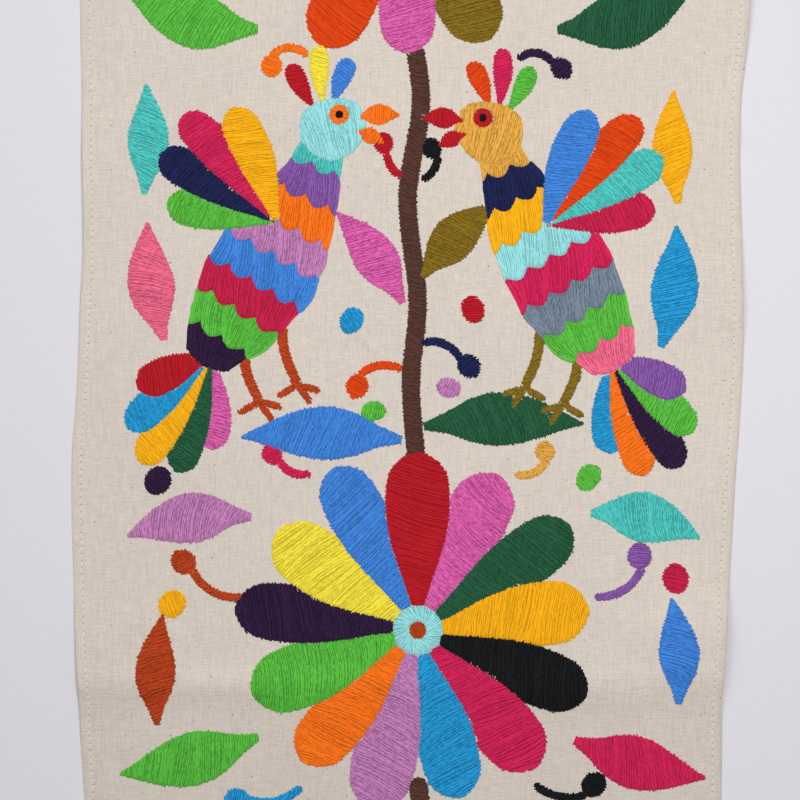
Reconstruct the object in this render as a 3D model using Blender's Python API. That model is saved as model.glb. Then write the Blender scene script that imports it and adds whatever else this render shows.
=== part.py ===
"""A cotton table runner with a folded hem, lying loosely on a table.

One panel of unbleached cotton, hemmed all round. The hem is the panel's own edge, folded to the back,
so the whole cloth is one closed solid. X runs across the runner, Y along it and Z up, in metres.
The origin is under the middle of the runner, on the table.
"""
import bisect
import math

import bpy

# The hemmed cloth as it was cut and sewn
WIDTH = 0.400
LENGTH = 1.000
PANEL_THICKNESS = 0.0012

# The hem: its folded width, its thickness, and how the panel comes down to the table beside it
HEM_WIDTH = 0.008
HEM_THICKNESS = 0.0022
HEM_STEP = 0.0006
HEM_STEP_UNDER = 0.0007
HEM_STEP_TOP = 0.0020
HEM_RUN_OUT = 0.026

# How the long edges wander: y, then how far the left and the right edge stand out from straight
SIDE_EDGES = [
    # y      left     right
    (-0.500, 0.0000, -0.0025),
    (-0.380, -0.0020, -0.0085),
    (-0.250, -0.0066, -0.0124),
    (-0.200, -0.0030, -0.0118),
    (-0.178, -0.0030, -0.0122),
    (-0.164, -0.0014, -0.0104),
    (-0.130, 0.0003, -0.0088),
    (-0.060, 0.0022, -0.0044),
    (-0.030, 0.0020, -0.0022),
    (0.000, -0.0010, -0.0002),
    (0.030, -0.0022, 0.0012),
    (0.090, -0.0056, 0.0002),
    (0.160, -0.0044, -0.0012),
    (0.240, -0.0030, 0.0055),
    (0.400, -0.0005, 0.0040),
    (0.500, -0.0020, 0.0030),
]

# How far each end edge bows out from its straight line, at five places from left to right
LOW_END_BOW = [0.0000, 0.0015, 0.0020, 0.0005, -0.0010]
HIGH_END_BOW = [0.0010, -0.0005, 0.0010, 0.0020, 0.0000]

# The ridges in which the cloth lifts off the table, each along a line between two points: how far it
# spreads to each side of that line, and its height
CREASES = [
    # name              x0      y0      x1      y1      spread height
    ("storage crease",  -0.205, -0.171, 0.205,  -0.176, 0.014, 0.0020),
    ("fainter crease",  -0.205, 0.164,  0.205,  0.160,  0.014, 0.0012),
]
SOFT_WAVES = [
    # name              x0      y0      x1      y1      spread height
    ("left edge lift",  -0.215, 0.060,  -0.205, 0.140,  0.050, 0.0028),
    ("left edge wave",  -0.215, -0.165, -0.160, -0.150, 0.045, 0.0026),
    ("right edge lift", 0.215,  -0.145, 0.165,  -0.140, 0.045, 0.0052),
    ("right edge wave", 0.220,  0.062,  0.165,  0.070,  0.040, 0.0028),
    ("top corner wave", 0.215,  0.250,  0.130,  0.300,  0.055, 0.0030),
    ("low corner wave", -0.215, -0.330, -0.120, -0.370, 0.060, 0.0030),
    ("low end wave",    0.090,  -0.520, 0.060,  -0.420, 0.055, 0.0028),
    ("high end wave",   -0.110, 0.520,  -0.080, 0.430,  0.060, 0.0030),
]

# How finely the panel is divided
PANEL_COLUMNS = 15
PANEL_ROWS = 34
CREASE_ROW_OFFSETS = (-0.014, -0.007, 0.0, 0.007, 0.014)
LEAST_ROW_GAP = 0.006


def eased(rows, column, place):
    """The value of one column of a table of rows at a place, easing from row to row."""
    places = [row[0] for row in rows]
    if place <= places[0]:
        return rows[0][column]
    if place >= places[-1]:
        return rows[-1][column]
    after = bisect.bisect_right(places, place)
    low, high = rows[after - 1], rows[after]
    part = (place - low[0]) / (high[0] - low[0])
    part = part * part * (3.0 - 2.0 * part)
    return low[column] + (high[column] - low[column]) * part


def end_bow(bows, across):
    """How far an end edge bows out, where across runs from 0 at the left to 1 at the right."""
    rows = [(index / (len(bows) - 1), bow) for index, bow in enumerate(bows)]
    return eased(rows, 1, across)


def fold_height(x, y):
    """How far the folds lift the cloth off the table at a point."""
    height = 0.0
    for _, x0, y0, x1, y1, spread, top in CREASES + SOFT_WAVES:
        run_x, run_y = x1 - x0, y1 - y0
        along = ((x - x0) * run_x + (y - y0) * run_y) / (run_x * run_x + run_y * run_y)
        along = min(1.0, max(0.0, along))
        away = math.hypot(x - x0 - along * run_x, y - y0 - along * run_y)
        if away < spread:
            height = max(height, top * 0.5 * (1.0 + math.cos(math.pi * away / spread)))
    return height


def underside(inset):
    """The height of the cloth's underside, by its distance in from the nearest edge."""
    rows = [
        (0.0, 0.0),
        (HEM_WIDTH, 0.0),
        (HEM_WIDTH + HEM_STEP, HEM_STEP_UNDER),
        (HEM_RUN_OUT, 0.0),
    ]
    return eased(rows, 1, inset)


def top_side(inset):
    """The height of the cloth's top, by its distance in from the nearest edge."""
    rows = [
        (0.0, HEM_THICKNESS),
        (HEM_WIDTH, HEM_THICKNESS),
        (HEM_WIDTH + HEM_STEP, HEM_STEP_TOP),
        (HEM_RUN_OUT, PANEL_THICKNESS),
    ]
    return eased(rows, 1, inset)


def hem_lines():
    """The distances in from an edge at which the hem and its run-out have their lines."""
    middle = (HEM_WIDTH + HEM_STEP + HEM_RUN_OUT) / 2.0
    return [0.0, HEM_WIDTH, HEM_WIDTH + HEM_STEP, middle, HEM_RUN_OUT]


def lines_between(length, count):
    """The distances of the lines across a side of a length: its two hems', and count spaces between."""
    first = hem_lines()
    inner = length - 2.0 * HEM_RUN_OUT
    middle = [HEM_RUN_OUT + inner * step / count for step in range(1, count)]
    return first + middle + [length - inset for inset in reversed(first)]


def row_lines():
    """The rows along the runner: the hems', even ones between, and closer ones over each crease."""
    rows = lines_between(LENGTH, PANEL_ROWS)
    for _, _, y0, _, y1, _, _ in CREASES:
        crease = LENGTH / 2.0 + (y0 + y1) / 2.0
        close = [crease + offset for offset in CREASE_ROW_OFFSETS]
        rows = [row for row in rows if min(abs(row - line) for line in close) > LEAST_ROW_GAP]
        rows = sorted(rows + close)
    return rows


def cloth_point(across, along):
    """The place in plan of a point, by its share of the way across and along the runner."""
    y_middle = (along - 0.5) * LENGTH
    left = -WIDTH / 2.0 - eased(SIDE_EDGES, 1, y_middle)
    right = WIDTH / 2.0 + eased(SIDE_EDGES, 2, y_middle)
    x = left + (right - left) * across
    bow = end_bow(HIGH_END_BOW, across) * along - end_bow(LOW_END_BOW, across) * (1.0 - along)
    return x, y_middle + bow


def cloth_mesh():
    """The runner as one closed mesh: a grid of points on its top, another below, and its rim."""
    columns = lines_between(WIDTH, PANEL_COLUMNS)
    rows = row_lines()
    tops, unders = [], []
    for row in rows:
        for column in columns:
            x, y = cloth_point(column / WIDTH, row / LENGTH)
            inset = min(column, WIDTH - column, row, LENGTH - row)
            lift = fold_height(x, y)
            tops.append((x, y, top_side(inset) + lift))
            unders.append((x, y, underside(inset) + lift))
    points = tops + unders
    wide, deep = len(columns), len(rows)
    under = wide * deep
    faces = []
    for row in range(deep - 1):
        for column in range(wide - 1):
            first = row * wide + column
            square = (first, first + 1, first + wide + 1, first + wide)
            faces.append(square)
            faces.append(tuple(under + corner for corner in reversed(square)))
    rim = list(range(wide))
    rim += [row * wide + wide - 1 for row in range(1, deep)]
    rim += [(deep - 1) * wide + column for column in range(wide - 2, -1, -1)]
    rim += [row * wide for row in range(deep - 2, 0, -1)]
    for here, following in zip(rim, rim[1:] + rim[:1]):
        faces.append((here, under + here, under + following, following))
    middle_x = (min(point[0] for point in points) + max(point[0] for point in points)) / 2.0
    middle_y = (min(point[1] for point in points) + max(point[1] for point in points)) / 2.0
    centred = [(x - middle_x, y - middle_y, z) for x, y, z in points]
    mesh = bpy.data.meshes.new("runner_cloth")
    mesh.from_pydata(centred, [], faces)
    mesh.validate()
    mesh.shade_smooth()
    mesh.set_sharp_from_angle(angle=math.radians(40.0))
    return mesh


def cotton_material():
    """Unbleached cotton: a warm off-white, quite matt."""
    material = bpy.data.materials.new("unbleached_cotton")
    material.use_nodes = True
    shader = material.node_tree.nodes["Principled BSDF"]
    shader.inputs["Base Color"].default_value = (0.66, 0.58, 0.49, 1.0)
    shader.inputs["Roughness"].default_value = 0.92
    shader.inputs["Metallic"].default_value = 0.0
    return material


def clear_scene():
    """Removes what the scene already holds."""
    for thing in list(bpy.data.objects):
        bpy.data.objects.remove(thing, do_unlink=True)


def build():
    """Makes the runner."""
    clear_scene()
    mesh = cloth_mesh()
    mesh.materials.append(cotton_material())
    runner = bpy.data.objects.new("runner_cloth", mesh)
    bpy.context.scene.collection.objects.link(runner)


build()
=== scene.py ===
"""The looks of a cotton table runner, hemmed by machine and embroidered in thick cotton yarn.

The embroidery is designed flat, in millimetres, with X across the runner and Y along it. Each motif is a
limb: a row of sections, each with its place and its half width. Stitches are laid across or along the
limbs, cut where a motif nearer the eye covers them, and then raised over the cloth as threads.
"""
import math

import bpy
import numpy as np
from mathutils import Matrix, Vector
from mathutils.bvhtree import BVHTree

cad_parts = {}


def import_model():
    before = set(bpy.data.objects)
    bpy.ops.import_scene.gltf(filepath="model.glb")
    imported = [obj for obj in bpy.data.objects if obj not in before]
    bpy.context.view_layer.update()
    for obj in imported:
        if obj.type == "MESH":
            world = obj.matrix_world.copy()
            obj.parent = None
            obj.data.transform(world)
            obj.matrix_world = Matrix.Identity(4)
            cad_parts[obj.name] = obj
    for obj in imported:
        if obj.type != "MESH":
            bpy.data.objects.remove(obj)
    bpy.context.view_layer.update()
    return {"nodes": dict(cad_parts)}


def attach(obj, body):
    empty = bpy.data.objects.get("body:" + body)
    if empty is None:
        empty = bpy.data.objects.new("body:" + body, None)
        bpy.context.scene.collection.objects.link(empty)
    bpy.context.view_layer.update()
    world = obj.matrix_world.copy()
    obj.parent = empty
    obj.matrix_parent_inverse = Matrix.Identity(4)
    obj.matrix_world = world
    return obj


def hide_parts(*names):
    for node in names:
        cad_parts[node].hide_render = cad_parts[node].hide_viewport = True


MM = 0.001
RUNNER = "runner_cloth"

# Embroidery yarn, in millimetres
PITCH = 1.12
SKULL_PITCH = 0.86
CROSSING = 0.14
YARN_WIDTH = 1.22
YARN_HEIGHT = 0.54
YARN_LAYER = 0.10
YARN_SINK = 0.35
WANDER = 0.17
WANDER_STEP = 2.8
MOST_SPANS = 9
SHORTEST_STITCH = 1.6
END_OVERLAP = 0.34
TUCK = 0.8
END_JITTER = 0.31
EVEN_LENGTH = 16.0
SIDE_JITTER = 0.22
PATCH_BOW = 0.030
UNDERLAY_HEIGHT = 0.16
UNDERLAY_INSET = 0.5
UNDERLAY_CELL = 3.0
LOWEST = 0.01

# The yarns' colours, as sRGB values from 0 to 255
YARNS = {
    "amber": (255, 186, 31),
    "orange": (255, 124, 34),
    "rust": (190, 72, 35),
    "sand": (232, 173, 76),
    "yellow": (252, 232, 72),
    "red": (189, 34, 43),
    "crimson": (203, 40, 79),
    "magenta": (214, 42, 91),
    "pink": (225, 101, 176),
    "rose": (244, 112, 145),
    "orchid": (200, 133, 188),
    "purple": (140, 93, 170),
    "plum": (53, 34, 64),
    "navy": (36, 41, 82),
    "blue": (72, 139, 223),
    "azure": (44, 158, 214),
    "periwinkle": (168, 181, 236),
    "turquoise": (85, 203, 196),
    "aqua": (158, 226, 228),
    "green": (97, 194, 70),
    "dark_green": (43, 95, 66),
    "olive": (135, 110, 35),
    "brown": (91, 61, 53),
    "black": (30, 31, 33),
    "steel": (124, 138, 154),
    "vermilion": (228, 75, 26),
}


# Curves and limbs


def smooth_curve(rows, step=0.5):
    """A smooth curve through rows of numbers that start with x and y, as points a step apart."""
    rows = np.array(rows, float)
    ends = np.vstack([2 * rows[0] - rows[1], rows, 2 * rows[-1] - rows[-2]])
    t = np.linspace(0.0, 1.0, 24, endpoint=False)[:, None]
    spans = []
    for a, b, c, d in zip(ends, ends[1:], ends[2:], ends[3:]):
        spans.append(
            0.5 * (2 * b + (c - a) * t + (2 * a - 5 * b + 4 * c - d) * t**2 + (3 * b - a - 3 * c + d) * t**3)
        )
    fine = np.vstack(spans + [rows[-1:]])
    travel = np.concatenate([[0.0], np.cumsum(np.hypot(*np.diff(fine[:, :2], axis=0).T))])
    places = np.linspace(0.0, travel[-1], max(3, int(travel[-1] / step) + 1))
    return np.column_stack([np.interp(places, travel, column) for column in fine.T]), travel[-1]


class Limb:
    """A shape along a curved line, from rows of x, y and half width, with rounded ends."""

    def __init__(self, rows, round_start=0.0, round_end=0.0):
        fine, self.length = smooth_curve(rows)
        self.places = np.linspace(0.0, self.length, len(fine))
        self.centre = fine[:, :2]
        self.full = np.maximum(fine[:, 2], 0.05)
        self.round_start = round_start
        self.round_end = round_end
        run = np.gradient(self.centre, axis=0)
        run /= np.hypot(run[:, 0], run[:, 1])[:, None]
        self.run = run
        self.half = self.full * self.rounding(self.places)

    def rounding(self, places):
        """How much of its full width the limb has at places along it."""
        share = np.ones_like(places)
        if self.round_start:
            gone = np.clip(1.0 - places / self.round_start, 0.0, 1.0)
            share = share * np.sqrt(1.0 - gone**2)
        if self.round_end:
            gone = np.clip(1.0 - (self.length - places) / self.round_end, 0.0, 1.0)
            share = share * np.sqrt(1.0 - gone**2)
        return share

    def at(self, places, sideways, full=False):
        """Points at places along the limb, sideways from -1 at its right edge to 1 at its left."""
        places = np.clip(places, 0.0, self.length)
        x = np.interp(places, self.places, self.centre[:, 0])
        y = np.interp(places, self.places, self.centre[:, 1])
        run_x = np.interp(places, self.places, self.run[:, 0])
        run_y = np.interp(places, self.places, self.run[:, 1])
        reach = sideways * np.interp(places, self.places, self.full if full else self.half)
        return np.column_stack([x - run_y * reach, y + run_x * reach])

    def width_at(self, places):
        """The limb's whole width at places along it."""
        return 2.0 * np.interp(places, self.places, self.half)

    def outline(self, first, last):
        """The limb's edge as a closed polygon, between two shares of its length."""
        places = self.length * np.linspace(first, last, max(12, int(self.length / 1.5)))
        return np.vstack([self.at(places, -1.0), self.at(places[::-1], 1.0)])


def heading_vector(degrees):
    """The unit vector of a heading, which is 0 along +X and 90 along +Y."""
    return np.array([math.cos(math.radians(degrees)), math.sin(math.radians(degrees))])


def path_from(x, y, heading, length, turn, sections):
    """Places along a path that starts at a point with a heading and turns evenly: x, y of each."""
    points = [(x, y)]
    step = length / (sections - 1)
    for index in range(sections - 1):
        way = heading_vector(heading + turn * (index + 0.5) / (sections - 1))
        last = points[-1]
        points.append((last[0] + step * way[0], last[1] + step * way[1]))
    return points


# Stitches


class Patch:
    """A patch of one yarn: its stitches' ends, the outline that hides what is under it, and an underlay.

    The underlay is a grid of points, rows by columns, of the yarn that shows deep between the stitches.
    The outlines of the patches that lie over it are listed once the whole design is known.
    """

    def __init__(self, yarn, starts, ends, outline, underlay):
        self.yarn = yarn
        self.starts = starts
        self.ends = ends
        self.outline = outline
        self.underlay = underlay
        self.covers = []

    def covered(self, points):
        """Which of the points lie under another patch."""
        hidden = np.zeros(len(points), bool)
        for outline in self.covers:
            hidden |= inside(points, outline)
        return hidden


def interleaved(first_edge, second_edge, places, step):
    """Stitches side by side between two edges, every other one worked back the other way.

    An edge is a function that gives points from places. Each stitch ends a little further on than it
    starts, so that neighbours just cross.
    """
    starts, ends = np.empty((len(places), 2)), np.empty((len(places), 2))
    starts[0::2] = first_edge(places[0::2])
    ends[0::2] = second_edge(places[0::2] + CROSSING * step)
    starts[1::2] = second_edge(places[1::2])
    ends[1::2] = first_edge(places[1::2] + CROSSING * step)
    return starts, ends


def across(limb, yarn, lean=0.0, first=0.0, last=1.0, pitch=PITCH):
    """Stitches from side to side of a limb. The lean is how far each runs on, as a share of its width."""
    places = np.arange(limb.length * first, limb.length * last, pitch)

    def edge(side):
        def points(at):
            reach = 0.5 * lean * (1.0 + 0.16 * np.sin(at / 6.5)) * limb.width_at(at)
            room = 0.9 * np.clip(np.minimum(at, limb.length - at), 0.0, None)
            return limb.at(at + side * np.clip(reach, -room, room), side)

        return points

    starts, ends = interleaved(edge(-1.0), edge(1.0), places, pitch)
    inset = min(UNDERLAY_INSET, 0.1 * limb.length)
    rows = np.linspace(
        limb.length * first + inset, limb.length * last - inset, max(4, int(limb.length / UNDERLAY_CELL))
    )
    filled = 1.0 - UNDERLAY_INSET / np.maximum(0.5 * limb.width_at(rows), 2.0 * UNDERLAY_INSET)
    columns = np.linspace(-1.0, 1.0, max(3, int(2.0 * limb.half.max() / UNDERLAY_CELL)))
    underlay = np.stack([limb.at(rows, side * filled) for side in columns], axis=1)
    return Patch(yarn, starts, ends, limb.outline(first, last), underlay)


def bands(limb, yarns, lobe_width=15.0, depth=5.0, slant=0.15):
    """Bands of colour across a limb, scalloped where they meet, with their stitches along the limb."""
    count = len(yarns)
    cuts = np.linspace(0.0, 1.0, count + 1)
    patches = []

    def border(index, sideways):
        """How far along the limb a border between two bands is."""
        place = limb.length * cuts[index]
        if index == 0:
            return limb.round_start * (1.0 - np.sqrt(1.0 - np.minimum(1.0, sideways**2)))
        if index == count:
            return limb.length - limb.round_end * (1.0 - np.sqrt(1.0 - np.minimum(1.0, sideways**2)))
        lobes = limb.width_at(place) / lobe_width
        phase = 0.7 * index
        return place - depth * 0.5 + depth * np.abs(np.sin(math.pi * lobes * (sideways + 1) / 2 + phase))

    for index, yarn in enumerate(yarns):
        middle = limb.length * (cuts[index] + cuts[index + 1]) / 2.0
        step = 2.0 * PITCH / limb.width_at(middle)
        sides = np.arange(-1.0 + 0.3 * step, 1.0, 0.95 * step)
        sides = sides * (1.12 - 0.12 * sides**2)
        sides = np.sort(np.append(sides, [sides[:2].mean(), sides[-2:].mean()]))

        def edge(which, shift):
            def points(sideways):
                sideways = np.clip(sideways, -1.0, 1.0)
                sideways = sideways + shift * (1.0 - sideways**2)
                return limb.at(border(which, sideways), sideways, full=True)

            return points

        starts, ends = interleaved(edge(index, -slant), edge(index + 1, slant), sides, step)
        span = np.linspace(-1.0, 1.0, 40)
        near, far = edge(index, 0.0)(span), edge(index + 1, 0.0)(span)
        outline = np.vstack([near, far[::-1]])
        filled = 1.0 - 2.0 * UNDERLAY_INSET / limb.width_at(middle)
        near, far = edge(index, 0.0)(span * filled), edge(index + 1, 0.0)(span * filled)
        shares = np.linspace(0.06 if index == 0 else 0.0, 0.94 if index == count - 1 else 1.0, 8)
        shares = shares[None, :, None]
        underlay = near[:, None] * (1.0 - shares) + far[:, None] * shares
        patches.append(Patch(yarn, starts, ends, outline, underlay))
    return patches


def ring(x, y, inner, outer, yarn, slant=0.35):
    """Stitches from an inner to an outer circle, all slanted the same way."""
    step = 2.0 * PITCH / (inner + outer)
    angles = np.arange(0.0, 2.0 * math.pi, step)

    def circle(radius, turned):
        return lambda at: np.column_stack(
            [x + radius * np.cos(at + turned), y + radius * np.sin(at + turned)]
        )

    starts, ends = interleaved(circle(inner, 0.0), circle(outer, slant), angles, step)
    turns = np.linspace(0.0, 2.0 * math.pi, 48)
    underlay = np.stack([circle(radius, 0.0)(turns) for radius in (inner, outer - 0.5)], axis=1)
    return Patch(yarn, starts, ends, circle(outer, 0.0)(turns[:-1]), underlay)


def disc(x, y, radius, yarn, heading=0.0):
    """A round dot of stitches that lie side by side."""
    way = heading_vector(heading) * radius
    limb = Limb([(x - way[0], y - way[1], radius), (x, y, radius), (x + way[0], y + way[1], radius)],
                radius, radius)
    return across(limb, yarn)


# Motifs

# How wide a leaf and a petal are at even places from stalk to tip, as shares of their greatest half width
LEAF_WIDTHS = [0.16, 0.42, 0.80, 1.0, 0.95, 0.72, 0.38, 0.04]
PETAL_WIDTHS = [0.20, 0.42, 0.66, 0.86, 0.98, 1.0, 0.92, 0.72]

# The size of a flower's heart and ring, and where its petals start
HEART_RADIUS = 5.6
RING_RADIUS = 15.2
PETAL_START = 14.4

# The bird: sections of its torso and skull, from head to tail
BIRD_TORSO = [
    # x      y      half width
    (-50.0, 158.0, 12.0),
    (-57.0, 139.0, 15.5),
    (-68.0, 116.0, 24.0),
    (-83.0, 89.0, 31.5),
    (-99.0, 61.0, 31.0),
    (-115.0, 36.0, 21.0),
    (-124.0, 20.0, 12.0),
]
BIRD_SKULL = [
    (-64.0, 153.0, 13.0),
    (-52.0, 160.0, 18.5),
    (-39.0, 165.5, 16.5),
    (-27.0, 168.5, 8.0),
]
BIRD_EYE = (-43.0, 171.0)
BIRD_BEAK = [
    # x     y      heading length half width turn
    (-31.0, 169.0, 16.0, 25.0, 6.5, -26.0),
    (-32.5, 161.0, -12.0, 18.0, 5.0, -26.0),
]
BIRD_CREST = [
    # heading length turn
    (126.0, 29.0, -16.0),
    (101.0, 34.0, -16.0),
    (76.0, 28.0, -16.0),
]
BIRD_WING = [
    # heading length turn
    (104.0, 72.0, 16.0),
    (126.0, 84.0, 12.0),
    (148.0, 80.0, 6.0),
    (171.0, 66.0, 2.0),
]
BIRD_TAIL = [
    (199.0, 47.0, 10.0),
    (218.0, 65.0, 8.0),
    (237.0, 76.0, 2.0),
    (257.0, 72.0, -4.0),
    (277.0, 56.0, -10.0),
]
BIRD_LEGS = [
    # hip, knee and foot
    ((-78.0, 56.0), (-76.0, 30.0), (-68.0, 9.0)),
    ((-99.0, 36.0), (-99.0, 18.0), (-91.0, -1.0)),
]

# The deer: sections of its torso, skull, legs and antlers
DEER_TORSO = [
    # x      y       half width
    (-66.0, -292.0, 11.5),
    (-73.0, -314.0, 15.0),
    (-86.0, -338.0, 22.0),
    (-106.0, -358.0, 28.0),
    (-128.0, -374.0, 28.0),
    (-145.0, -394.0, 21.0),
]
DEER_SKULL = [
    (-73.0, -282.0, 11.0),
    (-60.0, -287.0, 14.5),
    (-44.0, -295.0, 11.0),
    (-27.0, -304.0, 6.5),
]
DEER_EYE = (-53.0, -288.0)
DEER_NOSE = (-27.5, -304.5)
DEER_EARS = [
    # x     y       heading length half width turn
    (-68.0, -277.0, 104.0, 38.0, 8.0, 22.0),
    (-70.0, -280.0, 146.0, 38.0, 8.0, 16.0),
]
DEER_ANTLERS = [
    ((-57.0, -275.0), (-52.0, -261.0), (-55.0, -246.0)),
    ((-53.5, -263.0), (-46.0, -256.0), (-43.0, -246.0)),
]
DEER_FORELEGS = [
    [(-82.0, -356.0, 13.0), (-60.0, -366.0, 9.0), (-41.0, -362.0, 7.0), (-25.0, -350.0, 6.0)],
    [(-94.0, -368.0, 14.0), (-84.0, -396.0, 10.0), (-80.0, -420.0, 7.5), (-68.0, -448.0, 6.5)],
]
DEER_HIND_LEGS = [
    [(-130.0, -390.0, 17.0), (-120.0, -420.0, 11.5), (-128.0, -446.0, 7.5), (-116.0, -470.0, 6.5)],
    [(-147.0, -392.0, 15.0), (-158.0, -420.0, 10.0), (-156.0, -446.0, 7.5), (-147.0, -470.0, 6.5)],
]


def leaf(x, y, heading, length, half_width, turn, yarn, lean=0.38):
    """A leaf that starts at a point: narrow at its stalk, pointed at its tip."""
    path = path_from(x, y, heading, length, turn, len(LEAF_WIDTHS))
    limb = Limb([(px, py, half_width * share) for (px, py), share in zip(path, LEAF_WIDTHS)])
    return [across(limb, yarn, lean)]


def plume(x, y, heading, length, half_width, turn, yarn, lean=0.30):
    """A petal or feather that starts narrow, widens and ends round."""
    path = path_from(x, y, heading, length, turn, len(PETAL_WIDTHS))
    limb = Limb([(px, py, half_width * share) for (px, py), share in zip(path, PETAL_WIDTHS)],
                0.0, 0.80 * half_width)
    return [across(limb, yarn, lean)]


def rope(points, half_width, yarn, lean=1.0):
    """A narrow line of steeply slanted stitches."""
    limb = Limb([(x, y, half_width) for x, y in points], half_width, half_width)
    return [across(limb, yarn, lean)]


def tendril(x, y, heading, length, turn, bud, yarn):
    """A curling tendril with an oval bud at its end."""
    path = path_from(x, y, heading, length, turn, 7)
    last = heading + turn
    tip = np.array(path[-1]) - heading_vector(last) * 0.2 * bud
    middle = tip + heading_vector(last + 25.0) * 0.5 * bud
    far = tip + heading_vector(last + 25.0) * bud
    blob = Limb([(*tip, 0.42 * bud), (*middle, 0.46 * bud), (*far, 0.42 * bud)], 0.45 * bud, 0.45 * bud)
    return [across(blob, yarn, 0.2)] + rope(path, 2.5, yarn)


def bud(x, y, heading, length, half_width, yarn):
    """A loose oval bud."""
    path = path_from(x, y, heading, length, 0.0, 4)
    return [across(Limb([(px, py, half_width) for px, py in path], 0.5 * length, 0.5 * length), yarn, 0.3)]


def flower(x, y, reach, first_heading, half_width, yarns, ring_yarn, heart_yarn):
    """A round flower: a heart, a ring and petals all round, no two quite alike."""
    patches = [disc(x, y, HEART_RADIUS, heart_yarn, 20.0)]
    patches.append(ring(x, y, HEART_RADIUS - 0.4, RING_RADIUS, ring_yarn))
    turn = 360.0 / len(yarns)
    for index, yarn in enumerate(yarns):
        heading = first_heading + turn * index
        wobble = math.sin(2.4 * index)
        start = np.array([x, y]) + heading_vector(heading) * PETAL_START
        patches += plume(*start, heading - 2.5 * wobble, reach - PETAL_START + 4.0 * wobble,
                         half_width * (1.0 + 0.05 * math.cos(3.1 * index)), 5.0 * wobble, yarn,
                         lean=0.30 * (-1) ** index)
    return patches


def mirrored(patches, side, shift=(0.0, 0.0)):
    """The patches as drawn for side 1, or mirrored across the runner for side -1."""
    for patch in patches:
        for points in (patch.starts, patch.ends, patch.outline, patch.underlay):
            points[..., 0] = points[..., 0] * side + shift[0]
            points[..., 1] += shift[1]
    return patches


def bird(side, shift, body, wing, tail, crest, head, beak, leg):
    """A banded bird on the left of the stem, looking at it, or its mirror image."""
    patches = [disc(*BIRD_EYE, 2.8, "black"), ring(*BIRD_EYE, 2.6, 6.2, beak)]
    for row in BIRD_BEAK:
        patches += leaf(*row, beak, 0.0)
    patches += [across(Limb(BIRD_SKULL, 10.0, 4.0), head, 0.15, pitch=SKULL_PITCH)]
    for (heading, length, turn), yarn in zip(BIRD_CREST, crest):
        start = np.array([-50.0, 164.0]) + heading_vector(heading) * 15.0
        patches += plume(*start, heading, length, 6.0, turn, yarn)
    for (heading, length, turn), yarn in zip(BIRD_WING, wing):
        patches += plume(-81.0, 108.0, heading, length, 12.0, turn, yarn)
    patches += bands(Limb(BIRD_TORSO, 3.0, 6.0), body)
    for (heading, length, turn), yarn in zip(BIRD_TAIL, tail):
        patches += plume(-121.0, 26.0, heading, length, 10.8, turn, yarn)
    for hip, knee, foot in BIRD_LEGS:
        patches += rope([hip, knee, foot], 3.0, leg)
        for heading in (-15.0, -55.0, 210.0):
            toe = np.array(foot) + heading_vector(heading) * 14.0
            patches += rope([foot, (np.array(foot) + toe) / 2.0, toe], 2.1, leg)
    return mirrored(patches, side, shift)


def deer(side, shift, body, head, ear, antler, forelegs, hind_legs, hoof):
    """A banded deer on the left of the stem, looking at it, or its mirror image."""
    patches = [disc(*DEER_EYE, 2.6, "black"), ring(*DEER_EYE, 2.4, 5.6, ear), disc(*DEER_NOSE, 4.2, "black")]
    patches += [across(Limb(DEER_SKULL, 8.0, 5.0), head, 0.15, pitch=SKULL_PITCH)]
    for row in DEER_EARS:
        patches += leaf(*row, ear)
    for points in DEER_ANTLERS:
        patches += rope(points, 2.4, antler)
    patches += bands(Limb(DEER_TORSO, 3.0, 10.0), body)
    for rows, yarn in zip(DEER_FORELEGS + DEER_HIND_LEGS, forelegs + hind_legs):
        patches += [across(Limb(rows[2:], 0.0, 4.0), hoof, 0.2, first=0.5)]
        patches += [across(Limb(rows, 0.0, 4.0), yarn, 0.2)]
    patches += leaf(-160.0, -382.0, 140.0, 30.0, 7.5, -30.0, hoof)
    return mirrored(patches, side, shift)


# The whole design, from what lies nearest the eye to what lies under it

LEAVES = [
    # x    y     heading length half width turn yarn
    (-6, -24, 171, 96, 16, 16, "blue"),
    (8, -16, 10, 96, 16, -18, "dark_green"),
    (-5, 58, 116, 68, 13, 20, "pink"),
    (7, 74, 56, 62, 13, -22, "olive"),
    (-148, 36, 108, 72, 14, -20, "rose"),
    (150, 32, 72, 74, 14, 22, "azure"),
    (-160, 124, 82, 66, 12, 14, "turquoise"),
    (160, 118, 100, 68, 12, -16, "amber"),
    (-96, -70, 174, 76, 15, 30, "orchid"),
    (-152, -194, 96, 66, 12, -18, "rust"),
    (-92, -202, 202, 86, 16, -14, "green"),
    (108, -68, 4, 68, 15, -34, "turquoise"),
    (160, -182, 86, 64, 12, 16, "blue"),
    (98, -204, -24, 82, 16, 16, "magenta"),
    (-92, 222, 178, 82, 17, -28, "green"),
    (-104, 326, 146, 76, 15, 28, "plum"),
    (88, 222, 2, 84, 17, 28, "dark_green"),
    (98, 340, 36, 74, 15, -28, "rose"),
    (-8, 428, 150, 82, 15, 26, "azure"),
    (8, 426, 32, 84, 15, -26, "vermilion"),
    (-6, -412, 140, 46, 10, 20, "amber"),
    (6, -396, 42, 46, 10, -20, "turquoise"),
    (-4, -444, 194, 56, 11, -26, "dark_green"),
    (4, -444, -14, 56, 11, 26, "green"),
]
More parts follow.
